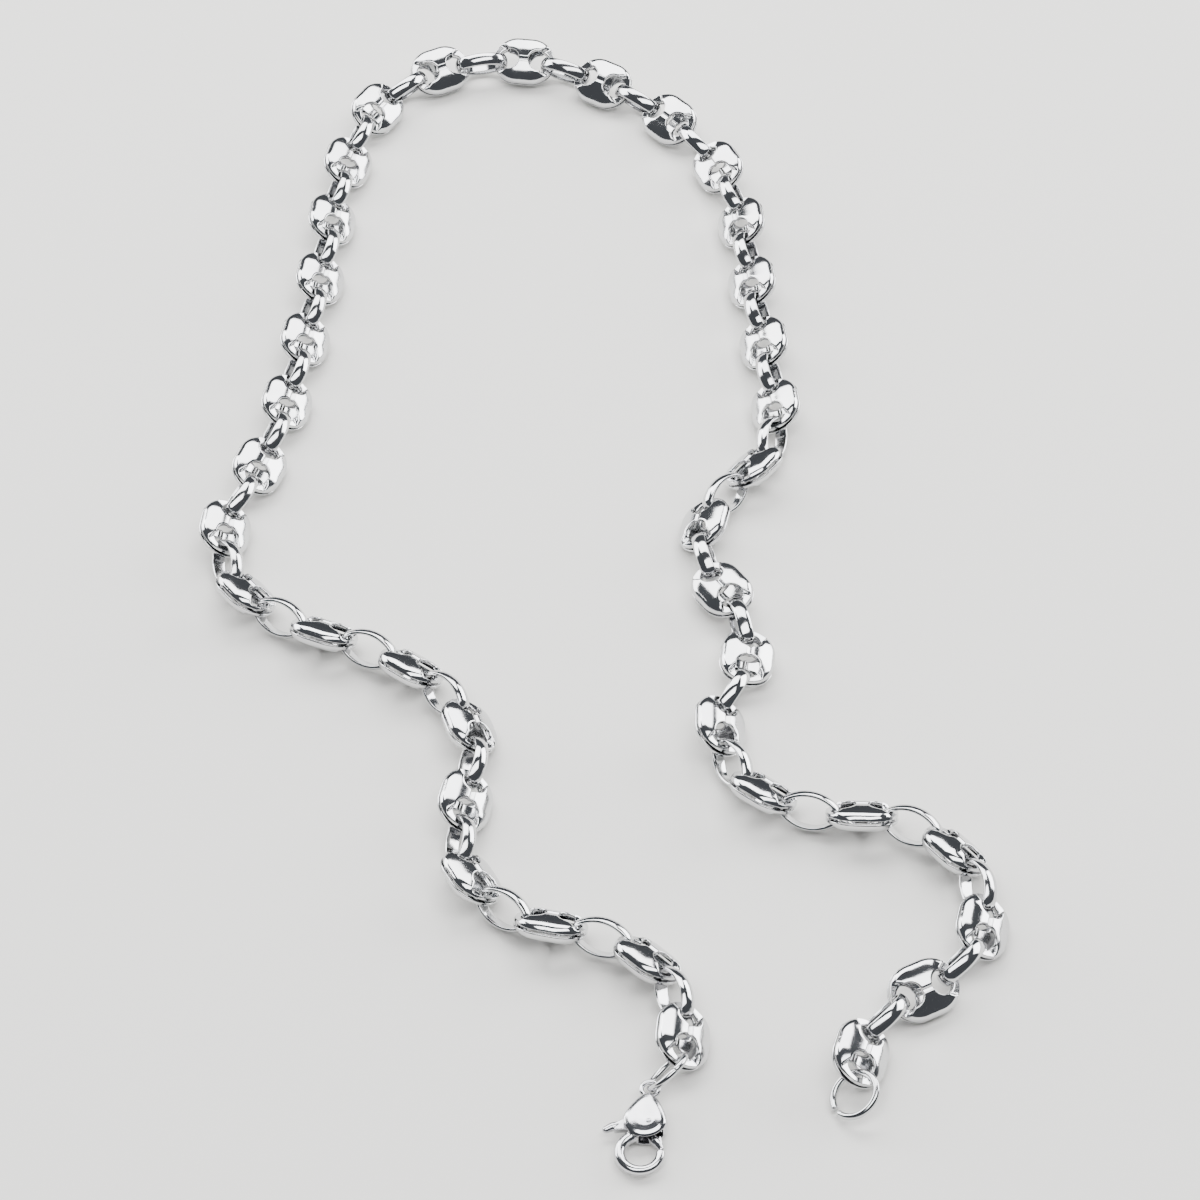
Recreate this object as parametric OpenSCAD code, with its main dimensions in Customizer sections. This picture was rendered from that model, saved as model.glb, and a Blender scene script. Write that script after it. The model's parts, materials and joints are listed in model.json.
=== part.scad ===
// Coffee-bean chain necklace with lobster clasp, laid out open on a flat surface.
// Units are millimetres, +Z is up, and the origin is on the resting surface.
// Links are numbered from the clasp end: even link numbers are beans, odd ones are connector rings.

/* [Bean link] */
// Length of a bean link along the chain
bean_l = 10.3; // [10.2:0.1:10.5]
// Width of a bean link
bean_w = 8; // [7.8:0.1:8.2]
// Thickness of a bean link over both shells
bean_t = 4; // [3.8:0.1:4.2]
// Thickness of the steel sheet that the shells are pressed from
sheet = 0.5; // [0.4:0.05:0.6]
// Gap between the two shells along their edge
slit = 0.4; // [0.2:0.1:0.6]
// Diameter of the hole near each end of a bean
hole_d = 3.5; // [3.4:0.1:3.6]
// Thickness of the welded bar beyond each hole
bar_t = 1; // [0.8:0.1:1]
// Depth of the crease that runs from hole to hole
crease = 0.25; // [0.1:0.05:0.35]

/* [Connector ring] */
// Height of a connector ring over its outside, across the chain
ring_h = 5.74; // [5.6:0.14:5.74]
// Width of the strip that the ring is bent from
strip_w = 2.1; // [1.8:0.1:2.1]
// Thickness of the strip at the middle of its domed outside
strip_t = 0.7; // [0.6:0.05:0.7]

/* [Jump rings and clasp] */
// Outside diameter of the two wire jump rings
jump_d = 7.4; // [7.3:0.1:7.5]
// Wire diameter of the jump rings
jump_wire = 0.95; // [0.85:0.05:0.95]
// Thickness of the clasp body
clasp_t = 3; // [2.9:0.1:3.1]
// Thickness of the clasp's hook
hook_wire = 1.5; // [1.4:0.1:1.6]
// Diameter of the clasp's pivot pin
pin_d = 0.8; // [0.7:0.05:0.85]
// Play between the pin and the lever's bore
pin_play = 0.1; // [0.05:0.05:0.1]

/* [Hidden] */
$fn = 48;

// ---- how the chain lies -------------------------------------------------------------------
bean_count = 37;
last_link = 2 * bean_count - 2;
// Middle of the first bean, over the resting surface
start = [12.9, -96.5, 3.14];
// Height at which a rolled link rests on its edges
rest_z = 3.14;
// Direction of the chain in degrees from +X at some link numbers; links between them are evenly turned
LIE = [
  [0, 84], [2, 134], [3, 159], [4, 167], [7, 92], [8, 79], [9, 86], [11, 129], [13, 154], [14, 156],
  [15, 148], [18, 85], [19, 68], [22, 81], [28, 86], [31, 75], [33, 46], [37, -26], [40, -49],
  [42, -67], [44, -85], [48, -84], [50, -85], [52, -125], [53, -129], [54, -102], [56, -57],
  [59, -116], [60, -91], [62, -40], [63, -15], [64, -2], [69, -128], [70, -152], [72, -106],
];
// How far each link is rolled about the chain's own line, in degrees at some link numbers
ROLL = [[0, 33], [54, 33], [60, -33], [72, -33]];

function heading(k) = lookup(k, LIE);
function roll(k) = lookup(k, ROLL);
function along(k) = [cos(heading(k)), sin(heading(k)), 0];
function face_of(k) = [
  sin(heading(k)) * sin(roll(k)),
  -cos(heading(k)) * sin(roll(k)),
  cos(roll(k)),
];
function unit(v) = v / norm(v);
function flat_on(v, n) = unit(v - (v * n) * n);

// ---- sizes that follow from the ones above --------------------------------------------------
bean_r = bean_w / 2;
bean_mid = bean_l - bean_w;
rim_w = 0.85;
hole_x = bean_l / 2 - rim_w - hole_d / 2;
// A ring swings sideways about the middle of the hole and tips about a point this far beyond it
tip_x = 2.35;
// The ring's oval is four arcs, whose centres and radii stand on 3-4-5 triangles
ring_unit = ring_h / 14;
ring_l = 22 * ring_unit;
ring_end_r = 5 * ring_unit;
ring_mid_r = 15 * ring_unit;
link_reach = ring_l / 2 - ring_end_r;

// Radius of the long arc that meets a small arc of radius r, whose centre is c along, at height b
function arc_between(c, b, r) = (c * c + b * b - r * r) / (2 * (b - r));

// Middle of the next link, from the middle p of link k, if the two hang together exactly
function hung_middle(p, k) =
  k % 2 == 0
    ? p + hole_x * along(k) + tip_x * flat_on(along(k + 1), face_of(k)) + link_reach * along(k + 1)
    : p + link_reach * along(k) + tip_x * flat_on(along(k), face_of(k + 1)) + hole_x * along(k + 1);
// The links have play in each other, which lets each one settle half way back to its resting height
function settled(p) = [p.x, p.y, (p.z + rest_z) / 2];

MIDDLE = [for (k = 0, p = start; k <= last_link; p = settled(hung_middle(p, k)), k = k + 1) p];

module at_link(k) {
  translate(MIDDLE[k]) rotate([0, 0, heading(k)]) rotate([roll(k), 0, 0]) children();
}

// ---- bean link --------------------------------------------------------------------------------
edge_r = 1.2;
edge_x = bean_r - edge_r;
crown_r = arc_between(edge_x, (bean_t - slit) / 2, edge_r);
crown_z = bean_t / 2 - crown_r;
crown_turn = atan2(edge_x, slit / 2 - crown_z);

// Half of a shell's section, pulled in by inset: a tight arc at the edge and a wide one over the crown
module dome_section(inset) {
  intersection() {
    translate([0, crown_z]) circle(crown_r - inset, $fn = 240);
    translate([0, slit / 2]) square([(crown_r - inset) * sin(crown_turn), bean_t]);
  }
  intersection() {
    translate([edge_x, slit / 2]) circle(edge_r - inset);
    translate([0, slit / 2]) square([bean_r, bean_t]);
  }
}

module shell_section() {
  difference() {
    dome_section(0);
    dome_section(sheet);
  }
}

module pressed_dome() {
  for (end = [-1, 1])
    translate([end * bean_mid / 2, 0, 0]) rotate([0, 0, -90 * end])
      rotate_extrude(angle = 180) shell_section();
  rotate([90, 0, 90]) linear_extrude(bean_mid, center = true)
    for (side = [0, 1]) mirror([side, 0]) shell_section();
}

// Room over the end bar, so that the ring can lie in it at any swing
module end_notch() {
  reach = bean_l / 2 - hole_x + 1;
  near = strip_w / 2 + 0.15;
  far = near + reach * tan(32);
  translate([hole_x, 0, bar_t / 2]) linear_extrude(bean_t)
    polygon([[-0.4, -near], [reach, -far], [reach, far], [-0.4, near]]);
}

module crease_groove() {
  rotate([90, 0, 90]) linear_extrude(2 * hole_x, center = true)
    polygon([[0, bean_t / 2 - crease], [1, bean_t / 2 + 1], [-1, bean_t / 2 + 1]]);
}

module bean_shell() {
  difference() {
    pressed_dome();
    for (end = [0, 1]) mirror([end, 0, 0]) {
      translate([hole_x, 0, 0]) cylinder(d = hole_d, h = bean_t);
      end_notch();
    }
    crease_groove();
  }
}

// Bar beyond each hole, where the two shells are welded to each other
module end_bar() {
  difference() {
    intersection() {
      translate([bean_mid / 2, 0, 0]) cylinder(r = bean_r - 0.05, h = bar_t, center = true);
      translate([bean_l / 2 - 1.6, -bean_r, -bar_t]) cube([2, bean_w, 2 * bar_t]);
    }
    translate([hole_x, 0, 0]) cylinder(d = hole_d, h = bean_t, center = true);
  }
}

module bean() {
  color("silver") {
    for (side = [0, 1]) mirror([0, 0, side]) bean_shell();
    for (end = [0, 1]) mirror([end, 0, 0]) end_bar();
  }
}

// ---- connector ring -----------------------------------------------------------------------------
strip_dome_r = 1.9;

// Section of the strip, flat inside and domed outside, for a bend of outside radius r
module strip_section(r) {
  intersection() {
    translate([r - strip_t, -strip_w / 2]) square([strip_t, strip_w]);
    translate([r - strip_dome_r, 0]) circle(strip_dome_r, $fn = 120);
  }
}

module ring() {
  color("gainsboro") rotate([90, 0, 0]) for (side = [0, 180]) rotate([0, 0, side]) {
    intersection() {
      translate([link_reach, 0, 0]) rotate_extrude() strip_section(ring_end_r);
      linear_extrude(4, center = true)
        polygon([[link_reach, 0], [link_reach + 3, 4], [link_reach + 3, -4]]);
    }
    intersection() {
      translate([0, ring_h / 2 - ring_mid_r, 0]) rotate_extrude() strip_section(ring_mid_r);
      linear_extrude(4, center = true)
        translate([0, ring_h / 2 - ring_mid_r]) polygon([[0, 0], [6, 8], [-6, 8]]);
    }
  }
}

// ---- jump rings -----------------------------------------------------------------------------------
jump_r = (jump_d - jump_wire) / 2;
jump_in_hole = 3.4;

// Round wire ring in the XZ plane, with a gap of some degrees at the angle gap_at
module jump_ring(gap, gap_at) {
  color("lightgray") rotate([90, 0, 0]) rotate([0, 0, gap_at + gap / 2])
    rotate_extrude(angle = 360 - gap) translate([jump_r, 0]) circle(d = jump_wire);
}

// The wire passes through the bean's hole, so a jump ring hangs from that point
clasp_ring_turn = [0, 0, 236];
clasp_ring_roll = -36;
module at_clasp_ring() {
  at_link(0) translate([-jump_in_hole, 0, 0]) rotate([-roll(0), 0, 0]) rotate([0, 0, -heading(0)])
    rotate(clasp_ring_turn) rotate([clasp_ring_roll, 0, 0]) translate([jump_r, 0, 0]) children();
}

module clasp_ring() { at_clasp_ring() jump_ring(1, 60); }

// The last bean carries an open jump ring that lies nearly flat
end_ring_turn = [0, 10, -92];
end_ring_roll = -60;
module at_end_ring() {
  at_link(last_link) translate([jump_in_hole, 0, 0]) rotate([-roll(last_link), 0, 0])
    rotate([0, 0, -heading(last_link)]) rotate(end_ring_turn) rotate([end_ring_roll, 0, 0])
      translate([jump_r, 0, 0]) children();
}

module end_ring() { at_end_ring() jump_ring(14, -54); }

// ---- lobster clasp ----------------------------------------------------------------------------------
// The clasp's own X axis runs from its eye to its hook, Y points to the gate and Z is its thickness
eye_r = 1.15;
eye_wire = 0.7;
eye_drop = -20;
body_x = 5.4;
body_r = 3.1;
hook_x = 10;
hook_r = 2.7;
hook_from = -165;
hook_to = 102;
pivot = [5.8, 0.6];
hub_r = 1.15;
pocket_t = 1.7;
lever_z = [-0.75, 0.2];
spring_r = 0.7;
spring_wire = 0.25;

module at_clasp() {
  at_clasp_ring() rotate([0, -eye_drop, 0]) translate([jump_r, 0, 0]) rotate([0, eye_drop, 0])
    rotate([-clasp_ring_roll, 0, 0]) rotate([0, 0, -clasp_ring_turn.z])
      rotate([0, 0, 262]) rotate([0, 5, 0]) children();
}

module clasp_outline() {
  translate([body_x, 0]) circle(body_r);
  polygon([[1.1, -0.7], [4, -2.75], [4, 2.75], [1.1, 0.7]]);
}

// Pocket that the lever turns in, open to the thumb side and to the hook
module lever_pocket() {
  translate([pivot.x, pivot.y, -pocket_t / 2]) linear_extrude(pocket_t) {
    circle(hub_r + 0.2);
    polygon([[-1.3, 0], [-3.6, -5], [1.9, -6], [1.3, 0]]);
    polygon([[-0.3, 1.5], [0.9, 1.9], [2.2, 3.4], [3.6, 3.4], [3.6, -0.75], [2.1, -0.85], [0.8, -1.2]]);
  }
}

module clasp_body() {
  color("silver") at_clasp() {
    difference() {
      union() {
        translate([0, 0, -clasp_t / 2]) linear_extrude(clasp_t) clasp_outline();
        rotate_extrude() translate([eye_r, 0]) circle(d = eye_wire);
        translate([hook_x, 0, 0]) rotate([0, 0, hook_from])
          rotate_extrude(angle = hook_to - hook_from) translate([hook_r, 0]) circle(d = hook_wire);
      }
      lever_pocket();
      translate([pivot.x, pivot.y, -clasp_t]) cylinder(d = pin_d, h = 2 * clasp_t);
    }
  }
}

module clasp_pin() {
  color("gray") at_clasp() translate([pivot.x, pivot.y, -clasp_t / 2]) cylinder(d = pin_d, h = clasp_t);
}

// Hub, thumb tab and the gate that closes the hook's mouth, in one piece
module clasp_lever() {
  color("darkgray") at_clasp() difference() {
    translate([pivot.x, pivot.y, lever_z[0]]) linear_extrude(lever_z[1] - lever_z[0]) {
      circle(hub_r);
      polygon([[-0.9, -0.5], [-0.7, -3.6], [0.5, -6], [1.2, -6.1], [1.4, -5.4], [0.9, -3.4], [1, -0.3]]);
      polygon([[-0.2, 1.1], [1.6, 1.9], [3.1, 2.5], [3.4, 1.6], [2, 0.2], [0.8, -0.7]]);
    }
    translate([pivot.x, pivot.y, -clasp_t]) cylinder(d = pin_d + pin_play, h = 2 * clasp_t);
  }
}

// Torsion spring wound round the pin beside the lever's hub
module clasp_spring() {
  color("dimgray") at_clasp() for (turn = [0, 1])
    translate([pivot.x, pivot.y, 0.4 + turn * 0.2]) rotate_extrude() translate([spring_r, 0]) circle(d = spring_wire);
}

// ---- nodes ---------------------------------------------------------------------------------------------
// Links at the back of the neck are drawn as pairs of a bean and the ring after it
first_paired = 20;
last_paired = 57;
SINGLE = [for (k = [0:last_link]) if (k < first_paired || k > last_paired) k];
PAIRED = [for (k = [first_paired:2:last_paired]) k];

function two_digits(n) = n < 10 ? str("0", n) : str(n);
function link_name(k) = str(k % 2 == 0 ? "bean_" : "ring_", two_digits(floor(k / 2) + 1));
function pair_name(k) = str("bean_and_ring_", two_digits(k / 2 + 1));

module link(k) { at_link(k) if (k % 2 == 0) bean(); else ring(); }

clasp_body();
clasp_lever();
clasp_pin();
clasp_spring();
clasp_ring();
end_ring();
for (k = SINGLE) link(k);
for (k = PAIRED) union() { link(k); link(k + 1); }
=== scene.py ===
# %% [markdown]
# # A coffee-bean chain necklace in polished steel
#
# This lesson gives a chain necklace its looks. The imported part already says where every
# link lies and which link hangs from which. We build each kind of link once, in fine
# detail, and let Geometry Nodes lay copies of it exactly where the part's own links are.
#
# We work through these steps:
# 1. load the part and measure it
# 2. write the small helpers for colours, meshes and nodes
# 3. mix the steels
# 4. press the bean link, bend the connector ring, wind the jump ring
# 5. lay the links out
# 6. cast the clasp
# 7. light it, stage it and set the camera

# %% Load the part
import json
import math

import bmesh
import bpy
import numpy as np
from mathutils import Matrix, Vector

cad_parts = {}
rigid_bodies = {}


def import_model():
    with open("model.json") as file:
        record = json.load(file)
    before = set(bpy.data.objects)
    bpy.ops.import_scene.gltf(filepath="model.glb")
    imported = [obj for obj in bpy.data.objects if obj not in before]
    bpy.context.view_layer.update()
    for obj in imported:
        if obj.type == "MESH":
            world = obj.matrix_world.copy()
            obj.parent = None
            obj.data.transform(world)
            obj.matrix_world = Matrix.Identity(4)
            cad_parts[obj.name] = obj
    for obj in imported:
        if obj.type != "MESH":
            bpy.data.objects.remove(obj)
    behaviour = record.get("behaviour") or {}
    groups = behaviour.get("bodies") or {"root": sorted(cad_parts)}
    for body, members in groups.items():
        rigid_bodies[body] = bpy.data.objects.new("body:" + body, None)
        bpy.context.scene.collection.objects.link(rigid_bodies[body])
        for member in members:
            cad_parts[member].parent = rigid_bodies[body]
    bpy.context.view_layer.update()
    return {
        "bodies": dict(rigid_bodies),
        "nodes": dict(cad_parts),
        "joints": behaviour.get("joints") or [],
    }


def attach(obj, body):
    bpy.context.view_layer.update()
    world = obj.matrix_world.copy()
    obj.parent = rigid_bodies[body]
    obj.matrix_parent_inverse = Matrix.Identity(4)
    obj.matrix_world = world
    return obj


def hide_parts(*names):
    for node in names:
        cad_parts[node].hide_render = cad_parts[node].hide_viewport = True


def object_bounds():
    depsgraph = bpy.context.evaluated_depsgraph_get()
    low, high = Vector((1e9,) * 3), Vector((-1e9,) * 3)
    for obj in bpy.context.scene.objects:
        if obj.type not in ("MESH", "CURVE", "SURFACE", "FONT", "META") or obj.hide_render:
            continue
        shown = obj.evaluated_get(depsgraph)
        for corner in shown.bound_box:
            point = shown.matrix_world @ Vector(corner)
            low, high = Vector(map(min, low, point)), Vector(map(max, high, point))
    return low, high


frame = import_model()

MM = 0.001
bodies = frame["bodies"]
nodes = frame["nodes"]
joints = {j["name"]: j for j in frame["joints"]}
print(len(bodies), "bodies and", len(nodes), "nodes")

# %% [markdown]
# ## Helpers
#
# Colours are written the way a colour picker shows them. Blender wants linear light, so
# one function turns a hex colour into linear numbers.

# %% Colour helper
def linear(hex_colour):
    channels = [int(hex_colour[i:i + 2], 16) / 255 for i in (1, 3, 5)]
    lit = [c / 12.92 if c <= 0.04045 else ((c + 0.055) / 1.055) ** 2.4 for c in channels]
    return (*lit, 1.0)


print("mid grey is", round(linear("#808080")[0], 3))

# %% [markdown]
# A shape is a list of points in millimetres and a list of faces. One helper turns those
# into a Blender mesh in metres, with its normals facing out and its shading smooth.

# %% Mesh helpers
SAME_POINT = 0.002


def mesh_object(name, points, faces):
    mesh = bpy.data.meshes.new(name)
    mesh.from_pydata([tuple(p) for p in np.asarray(points) * MM], [], faces)
    work = bmesh.new()
    work.from_mesh(mesh)
    bmesh.ops.remove_doubles(work, verts=work.verts, dist=SAME_POINT * MM)
    bmesh.ops.recalc_face_normals(work, faces=work.faces)
    work.to_mesh(mesh)
    work.free()
    mesh.polygons.foreach_set("use_smooth", [True] * len(mesh.polygons))
    made = bpy.data.objects.new(name, mesh)
    bpy.context.scene.collection.objects.link(made)
    return made


def grid_faces(rows, columns, first=0, wrap_rows=False, wrap_columns=False):
    """Quads over a grid of points stored row after row."""
    faces = []
    for i in range(rows if wrap_rows else rows - 1):
        for j in range(columns if wrap_columns else columns - 1):
            a, b = (i, j), (i, (j + 1) % columns)
            c, d = ((i + 1) % rows, (j + 1) % columns), ((i + 1) % rows, j)
            faces.append([first + r * columns + k for r, k in (a, b, c, d)])
    return faces


def sweep(name, sections, closed=False):
    """Skins a row of cross-sections that all have the same number of points."""
    sections = np.asarray(sections)
    rows, columns = sections.shape[:2]
    faces = grid_faces(rows, columns, wrap_rows=closed, wrap_columns=True)
    if not closed:
        faces.append(list(range(columns)))
        faces.append([(rows - 1) * columns + k for k in range(columns)])
    return mesh_object(name, sections.reshape(-1, 3), faces)


print("points closer than", SAME_POINT, "mm become one")

# %% [markdown]
# A material or a geometry tree is a set of nodes. This one small function adds a node,
# sets its own values and joins its inputs, so that each tree reads from top to bottom.

# %% Node helper
def add(tree, kind, *, settings=None, **inputs):
    """Adds a node. An input is given by its name, or as i and its number where names repeat."""
    node = tree.nodes.new(kind)
    for key, value in (settings or {}).items():
        setattr(node, key, value)
    for key, value in inputs.items():
        numbered = key[0] == "i" and key[1:].isdigit()
        socket = node.inputs[int(key[1:]) if numbered else key.replace("_", " ")]
        if isinstance(value, bpy.types.NodeSocket):
            tree.links.new(value, socket)
        else:
            socket.default_value = value
    return node


print("node helper ready for Blender", bpy.app.version_string)

# %% [markdown]
# ## Polished steel
#
# Polished stainless steel is almost a mirror, but never quite. The mop that polishes it
# leaves hair-fine lines, wear adds a few longer scratches, and skin oil and cloth leave a
# faint haze that makes some patches softer than others. Each of those is a texture with a
# real size, so the pattern stays the same on every link: haze in patches of about 6 mm,
# mop lines about 0.1 mm apart, and nicks up to 5 mm long. The real mop lines are finer
# still, and are drawn this coarse so that they show at all.

# %% Steel material
HAZE_PER_M, MOP_PER_M, NICKS_PER_M = 160.0, 900.0, 190.0
MOP_DEPTH, NICK_DEPTH = 0.00002, 0.00001


def polished_steel(name, colour, haze_colour, roughness, hair, scratch):
    material = bpy.data.materials.new(name)
    material.use_nodes = True
    tree = material.node_tree
    tree.nodes.clear()
    place = add(tree, "ShaderNodeTexCoord")
    object_place = place.outputs["Object"]

    haze = add(tree, "ShaderNodeTexNoise", Vector=object_place,
               Scale=HAZE_PER_M, Detail=3.0, Roughness=0.55)
    haze_soft = add(tree, "ShaderNodeMapRange", Value=haze.outputs[0],
                    i1=0.35, i2=0.7, i3=0.0, i4=1.0)

    # Stretched noise: lines that lie along one slanting direction
    mop_place = add(tree, "ShaderNodeMapping", Vector=object_place,
                    Scale=(1.0, 14.0, 6.0), Rotation=(0.3, 0.2, 0.5))
    mop = add(tree, "ShaderNodeTexNoise", Vector=mop_place.outputs[0],
              Scale=MOP_PER_M, Detail=4.0, Roughness=0.6)

    # Edges of stretched cells: long nicks, kept only where the haze is
    nick_place = add(tree, "ShaderNodeMapping", Vector=object_place,
                     Scale=(1.0, 9.0, 9.0), Rotation=(0.9, 0.4, 1.1))
    nick = add(tree, "ShaderNodeTexVoronoi", settings={"feature": "DISTANCE_TO_EDGE"},
               Vector=nick_place.outputs[0], Scale=NICKS_PER_M)
    nick_line = add(tree, "ShaderNodeMapRange", Value=nick.outputs[0],
                    i1=0.0, i2=0.02, i3=1.0, i4=0.0)
    nick_patch = add(tree, "ShaderNodeMath", settings={"operation": "MULTIPLY"},
                     i0=nick_line.outputs[0], i1=haze_soft.outputs[0])

    rough_haze = add(tree, "ShaderNodeMapRange", Value=haze_soft.outputs[0],
                     i1=0.0, i2=1.0, i3=roughness, i4=roughness * 1.9)
    rough = add(tree, "ShaderNodeMath", settings={"operation": "MULTIPLY_ADD"},
                i0=nick_patch.outputs[0], i1=scratch, i2=rough_haze.outputs[0])

    tint = add(tree, "ShaderNodeMix", settings={"data_type": "RGBA"}, i0=haze_soft.outputs[0],
               i6=linear(colour), i7=linear(haze_colour))

    lines = add(tree, "ShaderNodeBump", Strength=hair, Distance=MOP_DEPTH, Height=mop.outputs[0])
    nicks = add(tree, "ShaderNodeBump", Strength=hair, Distance=NICK_DEPTH,
                Height=nick_patch.outputs[0], Normal=lines.outputs[0])
    nicks.invert = True

    steel = add(tree, "ShaderNodeBsdfPrincipled", Metallic=1.0, Base_Color=tint.outputs[2],
                Roughness=rough.outputs[0], Normal=nicks.outputs[0])
    add(tree, "ShaderNodeOutputMaterial", Surface=steel.outputs[0])
    return material


# Sheet takes the highest polish, so the links come closest to a mirror
link_steel = polished_steel("stainless steel, mop polished sheet",
                            "#D9DADB", "#CFCFD1", 0.07, 0.10, 0.10)
# Wire rings are tumbled with steel shot, which leaves them a little softer
wire_steel = polished_steel("stainless steel, tumble polished wire",
                            "#D5D6D7", "#CBCBCD", 0.09, 0.12, 0.12)
# A casting shows more mop lines, because it starts rougher
clasp_steel = polished_steel("stainless steel, investment cast and polished",
                             "#D6D6D8", "#C9C9CC", 0.10, 0.16, 0.12)
lever_steel = polished_steel("stainless steel, stamped and polished",
                             "#D2D2D4", "#C6C6C9", 0.11, 0.16, 0.12)
# The file leaves clear marks on the pin's heads
pin_steel = polished_steel("stainless steel, drawn pin filed flush",
                           "#BDBDC0", "#AEAEB2", 0.2, 0.5, 0.2)
# The spring is left as drawn, so it's greyer and duller
spring_steel = polished_steel("spring steel, drawn wire",
                              "#9A9A9E", "#8A8A8F", 0.28, 0.4, 0.2)
print("steels:", ", ".join(m.name for m in bpy.data.materials if "steel" in m.name))

# %% [markdown]
# ## The bean link
#
# A bean is two shells pressed from thin sheet and welded at their ends. Each shell is a
# dome with a hole near each end. We draw a quarter of its outer surface as a grid that
# runs from the edge of the hole to the rim, and let symmetry do the rest.
#
# First the height of the dome. Over the middle it's a wide arc and at the edge a tight
# one. Between the holes runs a pressed crease. Beyond each hole the sheet dips, so that
# a connector ring can lie there.

# %% Sizes of a bean
BEAN_L, BEAN_W, BEAN_T = 10.3, 8.0, 4.0
SHEET, SLIT = 0.5, 0.4
HOLE_R, HOLE_X = 1.75, 2.55
EDGE_R = 1.2
CREASE_HALF_W, CREASE_DEPTH = 0.44, 0.27
SEAT_HEIGHT, SEAT_HALF_W, SEAT_FLARE = 0.72, 1.22, math.tan(math.radians(32))
LIP_R, RIM_R = 0.16, 0.12
half_w = BEAN_W / 2
mid_x = (BEAN_L - BEAN_W) / 2
edge_d = half_w - EDGE_R
rise = (BEAN_T - SLIT) / 2
crown_r = (edge_d ** 2 + rise ** 2 - EDGE_R ** 2) / (2 * (rise - EDGE_R))
crown_z = BEAN_T / 2 - crown_r
turn_d = crown_r * math.sin(math.atan2(edge_d, SLIT / 2 - crown_z))


def smooth_step(value, low, high):
    t = np.clip((value - low) / (high - low), 0.0, 1.0)
    return t * t * (3 - 2 * t)


def rim_distance(x, y):
    """Distance from the line down the bean's middle, which is half the width at its rim."""
    return np.hypot(np.maximum(np.abs(x) - mid_x, 0.0), y)


def dome_height(x, y):
    """Height of the shell's outer surface over the middle plane of the bean."""
    d = np.minimum(rim_distance(x, y), half_w)
    crown = crown_z + np.sqrt(np.maximum(crown_r ** 2 - d ** 2, 0.0))
    edge = SLIT / 2 + np.sqrt(np.maximum(EDGE_R ** 2 - (d - edge_d) ** 2, 0.0))
    height = np.where(d < turn_d, crown, edge)
    across = np.clip(1 - np.abs(y) / CREASE_HALF_W, 0.0, 1.0)
    fade = 1 - smooth_step(np.abs(x), 1.3, 2.0)
    height = height - CREASE_DEPTH * across ** 1.1 * fade
    beyond = np.abs(x) - (HOLE_X - 0.5)
    wall = SEAT_HALF_W + np.maximum(beyond - 0.1, 0.0) * SEAT_FLARE
    dip = smooth_step(beyond, -0.1, 0.6) * (1 - smooth_step(np.abs(y) - wall, 0.0, 0.28))
    seat = np.minimum(height, SEAT_HEIGHT)
    return height + (seat - height) * dip


print("a bean is", round(2 * float(dome_height(0.0, 1.0)), 2), "mm thick beside its crease")

# %% [markdown]
# The grid's first column lies round the hole and its last one on the rim, or on the line
# where the two halves of the bean meet. Columns crowd together towards the rim, because
# that's where the sheet turns down fastest. Rounded edges are extra columns.

# %% Lines of the grid
CREASE_LINES = (0.0, 0.06, 0.13, 0.22, 0.33, 0.44, 0.55, 0.68)
SIDE_LINES, END_LINES = 14, 30


def shell_lines():
    """Where each line of the grid starts round the hole, and where it ends, for y from 0 up."""
    starts, ends = [], []
    for y in CREASE_LINES:
        starts.append((HOLE_X - math.sqrt(HOLE_R ** 2 - y * y), y))
        ends.append((0.0, y))
    corner = math.atan2(half_w, -HOLE_X)
    widest = CREASE_LINES[-1]
    last = math.pi - math.asin(widest / HOLE_R)
    for k in range(1, SIDE_LINES + 1):
        t = k / SIDE_LINES
        angle = last + (corner - last) * t
        starts.append((HOLE_X + HOLE_R * math.cos(angle), HOLE_R * math.sin(angle)))
        ends.append((0.0, widest + (half_w - widest) * (1 - (1 - t) ** 2)))
    for k in range(1, END_LINES + 1):
        angle = corner * (1 - k / END_LINES)
        starts.append((HOLE_X + HOLE_R * math.cos(angle), HOLE_R * math.sin(angle)))
        reach = 0.0
        step = 4.0
        while step > 1e-5:
            trial = reach + step
            x = HOLE_X + trial * math.cos(angle)
            y = trial * math.sin(angle)
            if x > 0 and rim_distance(x, y) < half_w:
                reach = trial
            else:
                step /= 2
        ends.append((HOLE_X + reach * math.cos(angle), reach * math.sin(angle)))
    return np.array(starts), np.array(ends)


shell_starts, shell_ends = shell_lines()
print("a quarter of a shell has", len(shell_starts), "lines")

# %% [markdown]
# Each line now gets its points: up the hole's wall, over the dome, round the rim and back
# along the inside of the sheet. Towards the bean's end the inside closes down to the
# middle plane, which is where the two shells are welded to each other.

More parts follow.
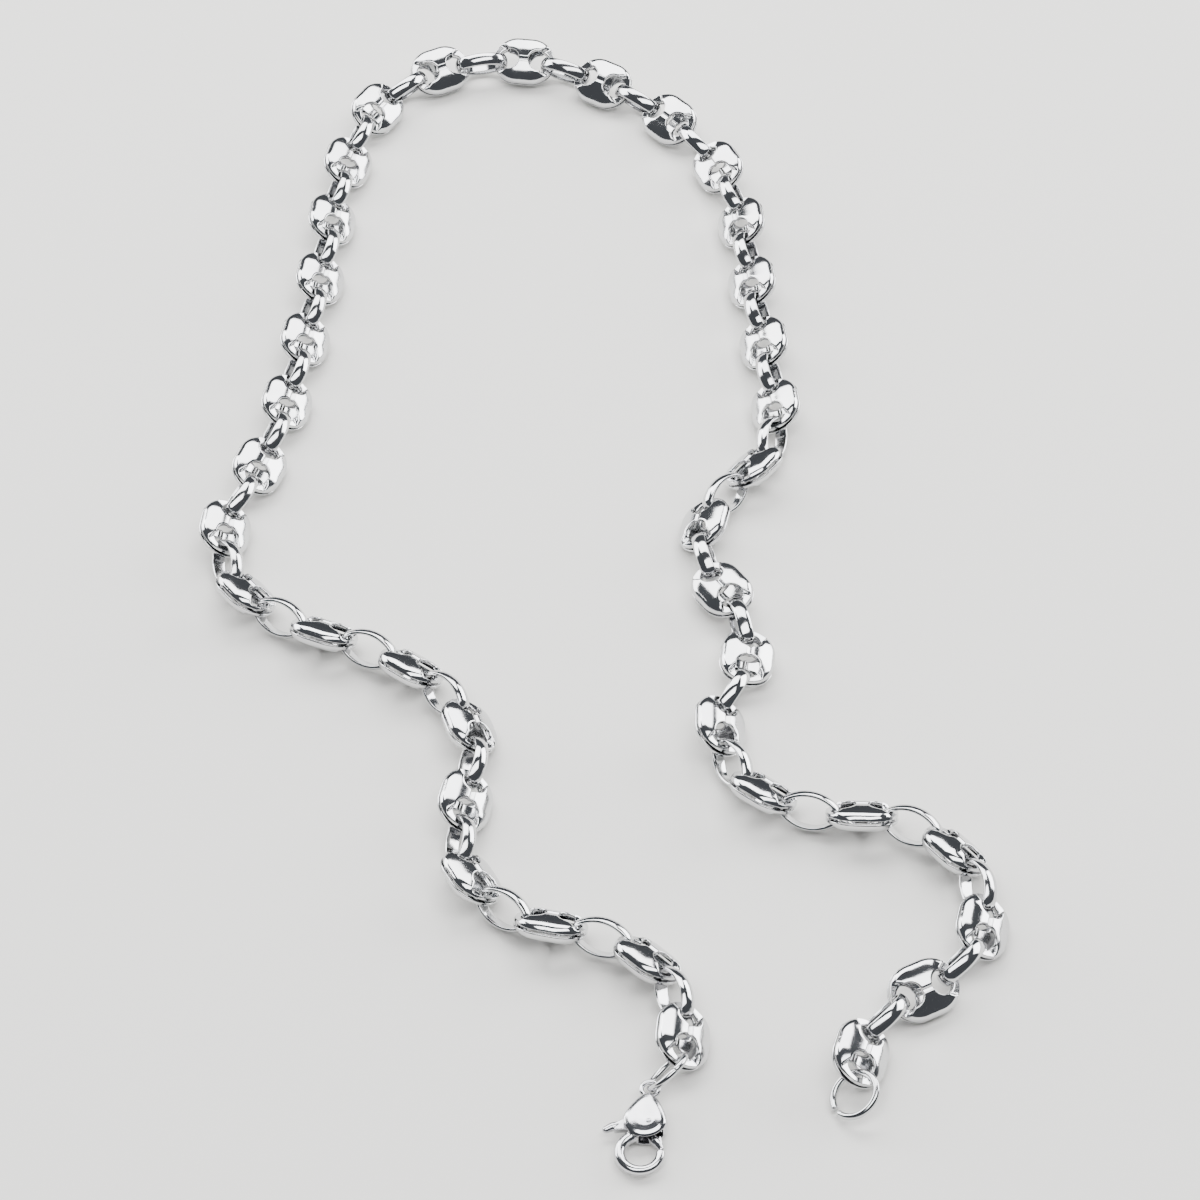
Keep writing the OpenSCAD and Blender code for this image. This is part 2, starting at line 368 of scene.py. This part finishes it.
# %% Press the bean
def shell_columns(starts, ends):
    """Columns of points from inside the hole's wall, over the dome and round the rim."""
    columns = []
    along = ends - starts
    length = np.linalg.norm(along, axis=1, keepdims=True)
    at_rim = (rim_distance(ends[:, 0], ends[:, 1]) > half_w - 0.001)[:, None]
    outward = ends - np.column_stack([np.minimum(ends[:, 0], mid_x), 0 * ends[:, 1]])
    outward = outward / np.maximum(np.linalg.norm(outward, axis=1, keepdims=True), 1e-6)

    def column(xy, z):
        columns.append(np.column_stack([xy, z]))

    def inner_height(xy):
        return np.maximum(dome_height(xy[:, 0], xy[:, 1]) - SHEET, 0.01)

    one = along / length
    edge_z = dome_height(*(starts + one * LIP_R).T)
    bottom = np.minimum(inner_height(starts + one * LIP_R), edge_z - 0.3)
    welded = smooth_step((starts[:, 0] - HOLE_X) / HOLE_R, 0.15, 0.5)
    bottom = bottom + (0.01 - bottom) * welded
    column(starts, bottom)
    for angle in (0, 30, 60):
        a = math.radians(angle)
        column(starts + one * LIP_R * (1 - math.cos(a)), edge_z - LIP_R + LIP_R * math.sin(a))
    for k in range(0, 14):
        t = 1 - (1 - k / 14) ** 1.7
        xy = starts + one * LIP_R + along * (1 - LIP_R / length) * t
        column(xy, dome_height(xy[:, 0], xy[:, 1]))
    end_z = dome_height(ends[:, 0], ends[:, 1])
    for angle in (0, 30, 60, 90):
        a = math.radians(angle)
        round_xy = ends - outward * RIM_R * (1 - math.cos(a))
        round_z = SLIT / 2 + RIM_R * (1 - math.sin(a))
        xy = np.where(at_rim, round_xy, ends)
        column(xy, np.where(at_rim[:, 0], round_z, end_z))
    inside = np.where(at_rim, ends - outward * SHEET, np.minimum(ends, half_w - SHEET))
    column(inside, np.where(at_rim[:, 0], SLIT / 2, inner_height(inside)))
    column(inside, inner_height(inside))
    for t, weld in ((0.8, 0.0), (0.6, 0.8), (0.3, 1.0)):
        xy = starts + (inside - starts) * t
        z = inner_height(xy)
        column(xy, z + (0.01 - z) * welded * weld)
    column(starts, bottom)
    return np.array(columns)


def make_bean():
    quarter = shell_columns(shell_starts, shell_ends)
    rows, count = quarter.shape[:2]
    points, faces = [], []
    for flip in [(a, b, c) for a in (1, -1) for b in (1, -1) for c in (1, -1)]:
        faces += grid_faces(rows, count, first=len(points))
        points += list(quarter.reshape(-1, 3) * flip)
    inner_walls = [all(abs(points[k][0]) < 1e-6 for k in face) for face in faces]
    faces = [face for face, wall in zip(faces, inner_walls) if not wall]
    return mesh_object("bean link", points, faces)


bean = make_bean()
print("bean link:", len(bean.data.polygons), "faces")

# %% [markdown]
# ## The connector ring
#
# The ring between two beans is a strip, flat inside and domed outside, bent into an oval.
# The oval is four arcs whose centres stand on 3-4-5 triangles, as in the part itself.

# %% Connector ring
RING_H, STRIP_W, STRIP_T = 5.74, 2.1, 0.7
STRIP_DOME_R = 1.9
unit = RING_H / 14
end_r, side_r = 5 * unit, 15 * unit
reach = 6 * unit


def strip_profile():
    """Points of the strip's section as (outward, across), with rounded edges."""
    half = STRIP_W / 2
    dome = [(-STRIP_DOME_R + math.sqrt(STRIP_DOME_R ** 2 - y * y), y)
            for y in np.linspace(-half + 0.12, half - 0.12, 13)]
    edge = dome[-1][0]
    side = [(edge - 0.07, half - 0.02), (edge - 0.13, half)]
    inner = [(-STRIP_T + 0.1, half), (-STRIP_T + 0.02, half - 0.04),
             (-STRIP_T, half - 0.12), (-STRIP_T, half * 0.4)]
    upper = side + inner
    lower = [(n, -y) for n, y in reversed(upper)]
    return dome + upper + lower


def oval_path():
    """(point on the outside, outward direction) round the oval."""
    path = []
    turn = math.degrees(math.atan2(4, 3))
    for centre, radius, low, high, steps in (
        ((reach, 0), end_r, -turn, turn, 22),
        ((0, RING_H / 2 - side_r), side_r, turn, 180 - turn, 16),
        ((-reach, 0), end_r, 180 - turn, 180 + turn, 22),
        ((0, side_r - RING_H / 2), side_r, 180 + turn, 360 - turn, 16),
    ):
        for k in range(steps):
            a = math.radians(low + (high - low) * k / steps)
            out = np.array([math.cos(a), math.sin(a)])
            path.append((np.array(centre) + radius * out, out))
    return path


def make_ring():
    sections = []
    for point, out in oval_path():
        sections.append([(point[0] + n * out[0], y, point[1] + n * out[1])
                         for n, y in strip_profile()])
    return sweep("connector ring", sections, closed=True)


ring = make_ring()
print("connector ring:", len(ring.data.polygons), "faces")

# %% [markdown]
# ## Where each link lies
#
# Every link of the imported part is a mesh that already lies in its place. The spread of its
# surface gives its own three directions: its length has the largest spread and its
# thickness the smallest. A pair node holds two loose solids, so we split it first.

# %% Find the lie of a solid
def node_triangles(name):
    """Points in millimetres and triangles of a CAD node, with its split corners joined."""
    mesh = nodes[name].data
    mesh.calc_loop_triangles()
    points = np.empty(3 * len(mesh.vertices))
    mesh.vertices.foreach_get("co", points)
    triangles = np.empty(3 * len(mesh.loop_triangles), dtype=int)
    mesh.loop_triangles.foreach_get("vertices", triangles)
    points = points.reshape(-1, 3) / MM
    joined, where = np.unique(np.round(points, 3), axis=0, return_inverse=True)
    return joined, where.reshape(-1)[triangles].reshape(-1, 3)


def loose_parts(points, triangles):
    """Splits triangles into the solids that they belong to."""
    label = np.arange(len(points))
    while True:
        lowest = label[triangles].min(axis=1)
        spread = label.copy()
        np.minimum.at(spread, triangles.reshape(-1), np.repeat(lowest, 3))
        spread = spread[spread]
        if (spread == label).all():
            break
        label = spread
    owner = label[triangles[:, 0]]
    return [triangles[owner == k] for k in np.unique(owner)]


def lie_of(points, triangles):
    """(middle, length direction, width direction, thickness direction) by area, in millimetres."""
    a, b, c = (points[triangles[:, k]] for k in range(3))
    area = np.linalg.norm(np.cross(b - a, c - a), axis=1) / 2
    middle = (area[:, None] * (a + b + c) / 3).sum(0) / area.sum()
    total = a + b + c - 3 * middle
    moment = np.einsum("n,ni,nj->ij", area / 12, total, total)
    for corner in (a, b, c):
        moment += np.einsum("n,ni,nj->ij", area / 12, corner - middle, corner - middle)
    values, vectors = np.linalg.eigh(moment)
    return middle, vectors[:, 2], vectors[:, 1], vectors[:, 0]


print("the part's clasp body has", len(node_triangles("clasp_body")[0]), "points")

# %% [markdown]
# Now we go through the bodies. A connector ring is a strip 2.1 mm wide and a bean is 4 mm
# thick, so the thickness of a solid tells which of the two it is.

# %% Find every link
THICKEST_RING = 3.0
links = {}
for body in bodies:
    if not body.startswith(("bean", "ring")):
        continue
    points, triangles = node_triangles(body)
    links[body] = []
    for part in loose_parts(points, triangles):
        middle, length, width, thin = lie_of(points, part)
        is_ring = float(np.ptp(points[part].reshape(-1, 3) @ thin)) < THICKEST_RING
        up = width if is_ring else thin
        side = np.cross(up, length)
        turn = Matrix(np.column_stack([length, side, up]).tolist()).to_quaternion()
        links[body].append((middle, turn, is_ring))
found = [is_ring for body in links.values() for _, _, is_ring in body]
print(len(found) - sum(found), "beans and", sum(found), "rings found")

# %% [markdown]
# ## Lay the links out with Geometry Nodes
#
# Each body gets a tiny mesh with one point for each of its links. The point carries the
# link's turn and says whether it's a ring. The tree puts a bean on the points that aren't
# rings and a ring on those that are, makes them real and gives them their steel.

# %% The tree that lays links
def link_tree():
    tree = bpy.data.node_groups.new("lay links", "GeometryNodeTree")
    face = tree.interface
    face.new_socket("Points", in_out="INPUT", socket_type="NodeSocketGeometry")
    sockets = {}
    for name, kind in (("Bean", "Object"), ("Ring", "Object"), ("Steel", "Material")):
        socket = face.new_socket(name, in_out="INPUT", socket_type="NodeSocket" + kind)
        sockets[name] = socket.identifier
    face.new_socket("Links", in_out="OUTPUT", socket_type="NodeSocketGeometry")
    given = add(tree, "NodeGroupInput")
    turn = add(tree, "GeometryNodeInputNamedAttribute", settings={"data_type": "QUATERNION"},
               Name="turn")
    is_ring = add(tree, "GeometryNodeInputNamedAttribute", settings={"data_type": "BOOLEAN"},
                  Name="is_ring")
    is_bean = add(tree, "FunctionNodeBooleanMath", settings={"operation": "NOT"},
                  i0=is_ring.outputs[0])
    laid = []
    for which, chosen in ((1, is_bean.outputs[0]), (2, is_ring.outputs[0])):
        shape = add(tree, "GeometryNodeObjectInfo", Object=given.outputs[which])
        laid.append(add(tree, "GeometryNodeInstanceOnPoints", Points=given.outputs[0],
                        Selection=chosen, Instance=shape.outputs["Geometry"],
                        Rotation=turn.outputs[0]))
    both = add(tree, "GeometryNodeJoinGeometry")
    for one in laid:
        tree.links.new(one.outputs[0], both.inputs[0])
    real = add(tree, "GeometryNodeRealizeInstances", Geometry=both.outputs[0])
    dressed = add(tree, "GeometryNodeSetMaterial", Geometry=real.outputs[0],
                  Material=given.outputs[3])
    add(tree, "NodeGroupOutput", i0=dressed.outputs[0])
    return tree, sockets


tree, sockets = link_tree()
print("the tree has", len(tree.nodes), "nodes")

# %% [markdown]
# The tree only describes the links. To get a piece that can ride a body, we ask Blender
# for what the modifier makes, keep that as a plain mesh and throw the maker away.

# %% Lay every link
def settle(maker, name):
    """Turns what the modifiers of maker make into one plain mesh."""
    bpy.context.view_layer.update()
    evaluated = maker.evaluated_get(bpy.context.evaluated_depsgraph_get())
    made = bpy.data.objects.new(name, bpy.data.meshes.new_from_object(evaluated))
    bpy.context.scene.collection.objects.link(made)
    bpy.data.objects.remove(maker)
    return made


for body, lies in links.items():
    points = bpy.data.meshes.new(body + " places")
    points.from_pydata([tuple(middle * MM) for middle, _, _ in lies], [], [])
    points.attributes.new("turn", "QUATERNION", "POINT").data.foreach_set(
        "value", [v for _, turn, _ in lies for v in turn])
    points.attributes.new("is_ring", "BOOLEAN", "POINT").data.foreach_set(
        "value", [is_ring for _, _, is_ring in lies])
    maker = bpy.data.objects.new(body + " maker", points)
    bpy.context.scene.collection.objects.link(maker)
    layer = maker.modifiers.new("lay links", "NODES")
    layer[sockets["Bean"]] = bean
    layer[sockets["Ring"]] = ring
    layer[sockets["Steel"]] = link_steel
    layer.node_group = tree
    piece = settle(maker, body + "_steel")
    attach(piece, body)
    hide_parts(body)
for shape in (bean, ring):
    bpy.data.objects.remove(shape)
print("laid", len(links), "bodies of links")

# %% [markdown]
# ## The two jump rings
#
# A jump ring is a turn of round wire with its cut ends side by side. The ring by the clasp
# is closed up tight, and the one at the far end stands a little open. A circle fitted to
# the part's own ring gives the place, and the widest step between its points is the cut.

# %% Lie of a jump ring
def ring_lie(node):
    """Centre, two directions in its plane, its axis, two radii, middle and half of its cut."""
    points, triangles = node_triangles(node)
    middle, _, across, axis = lie_of(points, triangles)
    along = np.cross(across, axis)
    flat = np.column_stack([(points - middle) @ along, (points - middle) @ across])
    sums = np.column_stack([2 * flat, np.ones(len(flat))])
    fit = np.linalg.lstsq(sums, (flat ** 2).sum(1), rcond=None)[0]
    wire_r = float(np.ptp((points - middle) @ axis)) / 2
    radius = math.sqrt(fit[2] + fit[0] ** 2 + fit[1] ** 2 - wire_r ** 2 / 2)
    angles = np.sort(np.arctan2(flat[:, 1] - fit[1], flat[:, 0] - fit[0]))
    steps = np.diff(np.append(angles, angles[0] + 2 * math.pi))
    widest = int(np.argmax(steps))
    centre = middle + fit[0] * along + fit[1] * across
    half_cut = steps[widest] / 2
    return centre, along, across, axis, radius, wire_r, angles[widest] + half_cut, half_cut


print("the open ring's cut is", round(2 * math.degrees(ring_lie("end_ring")[-1]), 1), "degrees")

# %% [markdown]
# The wire is swept round that circle. Its two ends are rounded by three smaller
# cross-sections, as a file leaves them.

# %% Wind the jump rings
END_ROUNDING = 0.09
WIRE_STEPS, WIRE_SIDES = 90, 24


def wire_ring(name, node, cut=None):
    centre, along, across, axis, radius, wire_r, cut_at, half_cut = ring_lie(node)
    half_cut = half_cut if cut is None else math.radians(cut) / 2
    rounding = END_ROUNDING / radius
    stops = [(0.0, 0.78), (0.35 * rounding, 0.92), (rounding, 1.0)]
    last_stops = [(rounding, 1.0), (0.35 * rounding, 0.92), (0.0, 0.78)]
    span = 2 * math.pi - 2 * half_cut
    for k in range(1, WIRE_STEPS):
        stops.append((rounding + (span - 2 * rounding) * k / WIRE_STEPS, 1.0))
    stops += [(span - s, grow) for s, grow in last_stops]
    sections = []
    for turned, grow in stops:
        a = cut_at + half_cut + turned
        out = math.cos(a) * along + math.sin(a) * across
        thick_r = wire_r * grow
        sections.append([
            centre + out * (radius + thick_r * math.cos(t)) + axis * thick_r * math.sin(t)
            for t in np.linspace(0, 2 * math.pi, WIRE_SIDES, endpoint=False)])
    made = sweep(name, sections)
    made.data.materials.append(wire_steel)
    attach(made, node)
    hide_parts(node)
    print(name, "is", round(2 * (radius + wire_r), 2), "mm across")


wire_ring("clasp_ring_wire", "clasp_ring", cut=1.2)
wire_ring("end_ring_wire", "end_ring")

# %% [markdown]
# ## The lobster clasp
#
# The clasp is a small casting, so its shapes run into each other. We build it from plain
# closed shapes in the clasp's own frame, cut the pocket for the lever, and then let a
# fine remesh and a little smoothing melt them together as polishing does.
#
# Its frame comes from two joints: the clasp swings about the middle of its eye, and the
# lever turns about the pin.

# %% The clasp's own frame
EYE_TO_PIN = (5.8, 0.6)
eye = Vector(joints["swing_clasp_body"]["pos_m"])
pin = Vector(joints["open_clasp_lever"]["pos_m"])
thick = Vector(joints["open_clasp_lever"]["axis"]).normalized()
to_pin = (pin - eye).normalized()
forward = Matrix.Rotation(-math.atan2(EYE_TO_PIN[1], EYE_TO_PIN[0]), 3, thick) @ to_pin
sideways = thick.cross(forward)
clasp_frame = Matrix.Translation(eye) @ Matrix((forward, sideways, thick)).transposed().to_4x4()
print("pin is", round((pin - eye).length / MM, 2), "mm from the eye")


# %% [markdown]
# Four plain closed shapes are enough for the clasp: a tube with rounded ends, a flat
# plate, a round drum and a puffed pillow.

# %% Shapes for the casting
TUBE_SIDES, DRUM_SIDES = 20, 48


def tube(path, sizes, flat=1.0):
    """Closed tube in the clasp's plane, with rounded ends; flat is its height over its width."""
    path = [np.asarray(p, dtype=float) for p in path]
    first = (path[0] - path[1]) / np.linalg.norm(path[0] - path[1])
    last = (path[-1] - path[-2]) / np.linalg.norm(path[-1] - path[-2])
    bends = [math.radians(a) for a in (80, 55, 28)]
    line = [(path[0] + first * sizes[0] * math.sin(a), sizes[0] * math.cos(a)) for a in bends]
    line += list(zip(path, sizes))
    line += [(path[-1] + last * sizes[-1] * math.sin(a), sizes[-1] * math.cos(a))
             for a in reversed(bends)]
    points = np.array([p for p, _ in line])
    ways = np.gradient(points, axis=0)
    sections = []
    for point, way, (_, size) in zip(points, ways, line):
        out = np.array([-way[1], way[0], 0.0]) / math.hypot(way[0], way[1])
        up = np.array([0, 0, size * flat])
        sections.append([point + out * size * math.cos(t) + up * math.sin(t)
                         for t in np.linspace(0, 2 * math.pi, TUBE_SIDES, endpoint=False)])
    return sweep("tube", sections)


def arc(centre, radius, low, high, steps):
    return [(centre[0] + radius * math.cos(a), centre[1] + radius * math.sin(a), 0.0)
            for a in np.radians(np.linspace(low, high, steps))]


def plate(outline, low, high):
    """Closed flat plate of an outline, between two heights."""
    points = [(x, y, low) for x, y in outline] + [(x, y, high) for x, y in outline]
    n = len(outline)
    faces = [list(range(n)), list(range(n, 2 * n))]
    faces += [[k, (k + 1) % n, n + (k + 1) % n, n + k] for k in range(n)]
    return mesh_object("plate", points, faces)


def drum(centre, radius, low, high):
    return plate([p[:2] for p in arc(centre, radius, 0, 360, DRUM_SIDES + 1)[:-1]], low, high)


def pillow(outline, middle, levels):
    """Closed domed body: at each height of levels the outline has shrunk to a share of its size."""
    outline = np.array(outline)
    middle = np.array(middle)
    sections = []
    for share, height in [(s, -h) for s, h in reversed(levels)] + list(levels):
        flat = middle + (outline - middle) * share
        sections.append([(x, y, height) for x, y in flat])
    return sweep("pillow", sections)


print("a drum has", DRUM_SIDES, "sides")

# %% [markdown]
# Melting is done at a thousand times the size, where the remesh is at ease: join the
# solids, cut the pockets, wrap one skin round what's left, and smooth it a few times.

# %% Melt and place
def melt(name, solids, cuts, detail, passes):
    """Joins closed solids into one skin, cuts from it, and polishes it soft."""
    for one in solids + cuts:
        one.data.transform(Matrix.Scale(1 / MM, 4))
    base = solids[0]
    for other in solids[1:]:
        joined = base.modifiers.new("join", "BOOLEAN")
        joined.operation, joined.object, joined.solver = "UNION", other, "EXACT"
    for cut in cuts:
        carved = base.modifiers.new("cut", "BOOLEAN")
        carved.operation, carved.object, carved.solver = "DIFFERENCE", cut, "EXACT"
    skin = base.modifiers.new("skin", "REMESH")
    skin.mode, skin.voxel_size, skin.use_smooth_shade = "VOXEL", detail, True
    soft = base.modifiers.new("soft", "SMOOTH")
    soft.factor, soft.iterations = 0.5, passes
    made = settle(base, name)
    made.data.transform(Matrix.Scale(MM, 4))
    for other in solids[1:] + cuts:
        bpy.data.objects.remove(other)
    made.data.polygons.foreach_set("use_smooth", [True] * len(made.data.polygons))
    return made


def place_in_clasp(made, body, node, steel):
    made.data.transform(clasp_frame)
    made.data.materials.clear()
    made.data.materials.append(steel)
    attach(made, body)
    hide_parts(node)
    print(made.name, "has", len(made.data.polygons), "faces")


print("eye at", [round(v / MM, 1) for v in eye], "mm")

# %% [markdown]
# The body is a puffed teardrop that grows out of the eye. The hook is a round bar that
# grows out of the body's far side, thins a little towards its tip and curls back.

# %% Cast the body
HOOK, HOOK_R = (10.0, 0.0), 2.7
HOOK_FROM, HOOK_TO, HOOK_STEPS = -172, 98, 40
PIN = EYE_TO_PIN
EYE_R, EYE_WIRE_R, EYE_WIRE_H = 1.15, 0.35, 0.38
BODY_MIDDLE = (5.3, 0.0)
BODY_DOME = [(1.0, 0.25), (0.985, 0.62), (0.94, 0.93), (0.85, 1.19),
             (0.7, 1.37), (0.45, 1.48), (0.15, 1.5)]
POCKET_LOW, POCKET_HIGH = -0.95, 0.9
POCKET_OUTLINE = [(-1.45, 0.0), (-3.8, -5), (2.0, -6), (1.35, -0.95), (2.1, -1.05), (3.7, -1.0),
                  (3.7, 3.5), (2.2, 3.5), (0.9, 2.0), (-0.3, 1.6), (-1.3, 0.6)]


def round_pin(outline):
    return [(PIN[0] + x, PIN[1] + y) for x, y in outline]


def teardrop():
    """Outline of the body: an oval that is drawn out towards the eye."""
    outline = []
    for k in range(64):
        a = 2 * math.pi * k / 64
        x = BODY_MIDDLE[0] + 2.95 * math.cos(a)
        y = 3.05 * math.sin(a)
        pull = max(0.0, -math.cos(a)) ** 1.5
        outline.append((x - 1.5 * pull, y * (1 - 0.35 * pull)))
    return outline


def eye_sections():
    for a in np.linspace(0, 2 * math.pi, 48, endpoint=False):
        section = []
        for t in np.linspace(0, 2 * math.pi, 16, endpoint=False):
            reach = EYE_R + EYE_WIRE_R * math.cos(t)
            section.append((math.cos(a) * reach, math.sin(a) * reach, EYE_WIRE_H * math.sin(t)))
        yield section


eye_ring = sweep("eye", list(eye_sections()), closed=True)
neck = tube([(1.55, 0, 0), (2.2, 0, 0), (3.0, 0, 0)], [0.42, 0.75, 1.1])
domed = pillow(teardrop(), BODY_MIDDLE, BODY_DOME)
hook = tube(arc(HOOK, HOOK_R, HOOK_FROM, HOOK_TO, HOOK_STEPS),
            list(np.linspace(0.8, 0.62, HOOK_STEPS)))
pocket = plate(round_pin(POCKET_OUTLINE), POCKET_LOW, POCKET_HIGH)
hub_room = drum(PIN, 1.42, POCKET_LOW, POCKET_HIGH)
clasp = melt("clasp_body_steel", [domed, neck, eye_ring, hook], [pocket, hub_room], 0.08, 5)
place_in_clasp(clasp, "clasp_body", "clasp_body", clasp_steel)

# %% [markdown]
# The lever is stamped and turned on the pin: a hub, a thumb tab on one side and, on the
# other, the gate that closes the hook's mouth.

# %% Stamp the lever
LEVER_LOW, LEVER_HIGH = -0.75, 0.2
TAB_ROOT = [(-0.9, -0.5), (-0.75, -3.4), (0.1, -4.6), (1.2, -4.4), (0.95, -3.2), (1, -0.3)]
GATE_ROOT = [(-0.2, 1.1), (1.6, 1.85), (2.3, 2.1), (2.7, 1.0), (2, 0.2), (0.8, -0.7)]
TAB_PATH = [(5.75, -3.1, -0.27), (6.3, -4.2, -0.27), (6.85, -4.95, -0.27)]
GATE_PATH = [(7.6, 1.6, -0.2), (8.3, 2.2, -0.15), (8.95, 2.62, -0.1)]
hub = drum(PIN, 1.15, LEVER_LOW, LEVER_HIGH)
tab_root = plate(round_pin(TAB_ROOT), LEVER_LOW, LEVER_HIGH)
tab = tube(TAB_PATH, [0.48, 0.62, 0.5], flat=0.95)
gate_root = plate(round_pin(GATE_ROOT), LEVER_LOW, LEVER_HIGH)
gate = tube(GATE_PATH, [0.6, 0.55, 0.42], flat=0.95)
bore = drum(PIN, 0.45, -2, 2)
lever = melt("clasp_lever_steel", [hub, tab_root, tab, gate_root, gate], [bore], 0.07, 4)
place_in_clasp(lever, "clasp_lever", "clasp_lever", lever_steel)

# %% [markdown]
# The pin's two heads are filed flush with the body, with a small rounded edge that shows
# as a fine circle. A torsion spring is wound round the pin above the hub.

# %% The pin and the spring
PIN_SIDES, SPRING_SIDES = 32, 10
SPRING_R, SPRING_WIRE_R, SPRING_TURNS = 0.7, 0.12, 2


def pin_shape():
    heads = [(0.34, 1.52), (0.39, 1.49), (0.4, 1.44)]
    sections = []
    for r, z in [(r, -z) for r, z in heads] + heads[::-1]:
        sections.append([(PIN[0] + r * math.cos(t), PIN[1] + r * math.sin(t), z)
                         for t in np.linspace(0, 2 * math.pi, PIN_SIDES, endpoint=False)])
    return sweep("clasp_pin_steel", sections)


place_in_clasp(pin_shape(), "clasp_body", "clasp_pin", pin_steel)


def spring_shape():
    """Wire round the pin, with a leg at each end that bears on the body and on the lever."""
    path = [(PIN[0] + SPRING_R, PIN[1] - SPRING_R / 2, 0.39)]
    for k in range(65):
        a = 2 * math.pi * SPRING_TURNS * k / 64
        path.append((PIN[0] + SPRING_R * math.cos(a), PIN[1] + SPRING_R * math.sin(a),
                     0.39 + 0.22 * k / 64))
    path.append((PIN[0] + SPRING_R, PIN[1] + SPRING_R / 2, 0.61))
    points = np.array(path)
    ways = np.gradient(points, axis=0)
    sections = []
    for point, way in zip(points, ways):
        way = way / np.linalg.norm(way)
        out = np.cross(way, (0, 0, 1.0))
        out /= np.linalg.norm(out)
        up = np.cross(out, way)
        sections.append([point + SPRING_WIRE_R * (out * math.cos(t) + up * math.sin(t))
                         for t in np.linspace(0, 2 * math.pi, SPRING_SIDES, endpoint=False)])
    return sweep("clasp_spring_steel", sections)


place_in_clasp(spring_shape(), "clasp_body", "clasp_spring", spring_steel)

# %% [markdown]
# ## Floor, light and camera
#
# The floor is a large sheet of plain, pale, matt paper. It lies a hair under the lowest
# link, so that no two surfaces share a plane.

# %% Floor
FLOOR_HALF, FLOOR_GAP = 3.0, 0.00002
corners = [(x * FLOOR_HALF, y * FLOOR_HALF, 0) for x, y in ((-1, -1), (1, -1), (1, 1), (-1, 1))]
floor_mesh = bpy.data.meshes.new("floor")
floor_mesh.from_pydata(corners, [], [(0, 1, 2, 3)])
floor = bpy.data.objects.new("floor", floor_mesh)
bpy.context.scene.collection.objects.link(floor)
floor.location.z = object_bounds()[0][2] - FLOOR_GAP
paper = bpy.data.materials.new("matt paper backdrop")
paper.use_nodes = True
sheet = paper.node_tree.nodes["Principled BSDF"]
sheet.inputs["Base Color"].default_value = linear("#EFEEEB")
sheet.inputs["Roughness"].default_value = 0.9
floor_mesh.materials.append(paper)
print("floor at", round(floor.location.z / MM, 3), "mm")

# %% [markdown]
# Polished steel shows its surroundings more than itself. Broad soft lights give the beans
# their large bright patches, and the unlit room between the lights gives the dark edges
# that make a mirror look like metal.

# %% Lights
def soft_light(name, place, size, power):
    data = bpy.data.lights.new(name, "AREA")
    data.shape, data.size, data.size_y, data.energy = "RECTANGLE", size[0], size[1], power
    lamp = bpy.data.objects.new(name, data)
    bpy.context.scene.collection.objects.link(lamp)
    lamp.location = place
    lamp.rotation_euler = (-Vector(place)).to_track_quat("-Z", "Y").to_euler()


soft_light("back overhead box", (-0.1, 0.66, 0.9), (1.4, 0.75), 14.0)
soft_light("front overhead box", (0.15, -0.35, 1.15), (1.5, 0.6), 11.0)
soft_light("right back box", (1.1, 0.7, 0.45), (1.0, 0.8), 13.0)
soft_light("left back box", (-1.1, 0.7, 0.45), (1.0, 0.8), 11.0)
room = bpy.data.worlds.new("dim room")
bpy.context.scene.world = room
room.use_nodes = True
walls = room.node_tree.nodes["Background"]
walls.inputs["Color"].default_value = linear("#8C8F94")
walls.inputs["Strength"].default_value = 0.4
bpy.context.scene.view_settings.view_transform = "AgX"
bpy.context.scene.view_settings.look = "AgX - Medium High Contrast"
print(len(bpy.data.lights), "soft lights")

# %% [markdown]
# The camera looks down at 45 degrees from the side of the two ends, from 0.6 m away with a
# long lens, so that the far links are only a little smaller than the near ones.

# %% Camera
AIM = Vector((0.0019, -0.011, 0.0))
CAMERA_FROM_AIM = Vector((0, -0.4405, 0.4405))
camera_data = bpy.data.cameras.new("camera")
camera = bpy.data.objects.new("camera", camera_data)
bpy.context.scene.collection.objects.link(camera)
bpy.context.scene.camera = camera
camera_data.lens = 126
camera_data.sensor_width = 36
camera_data.clip_start = 0.01
camera.location = AIM + CAMERA_FROM_AIM
camera.rotation_euler = (-CAMERA_FROM_AIM).to_track_quat("-Z", "Y").to_euler()
print("camera is", round(CAMERA_FROM_AIM.length, 3), "m away")
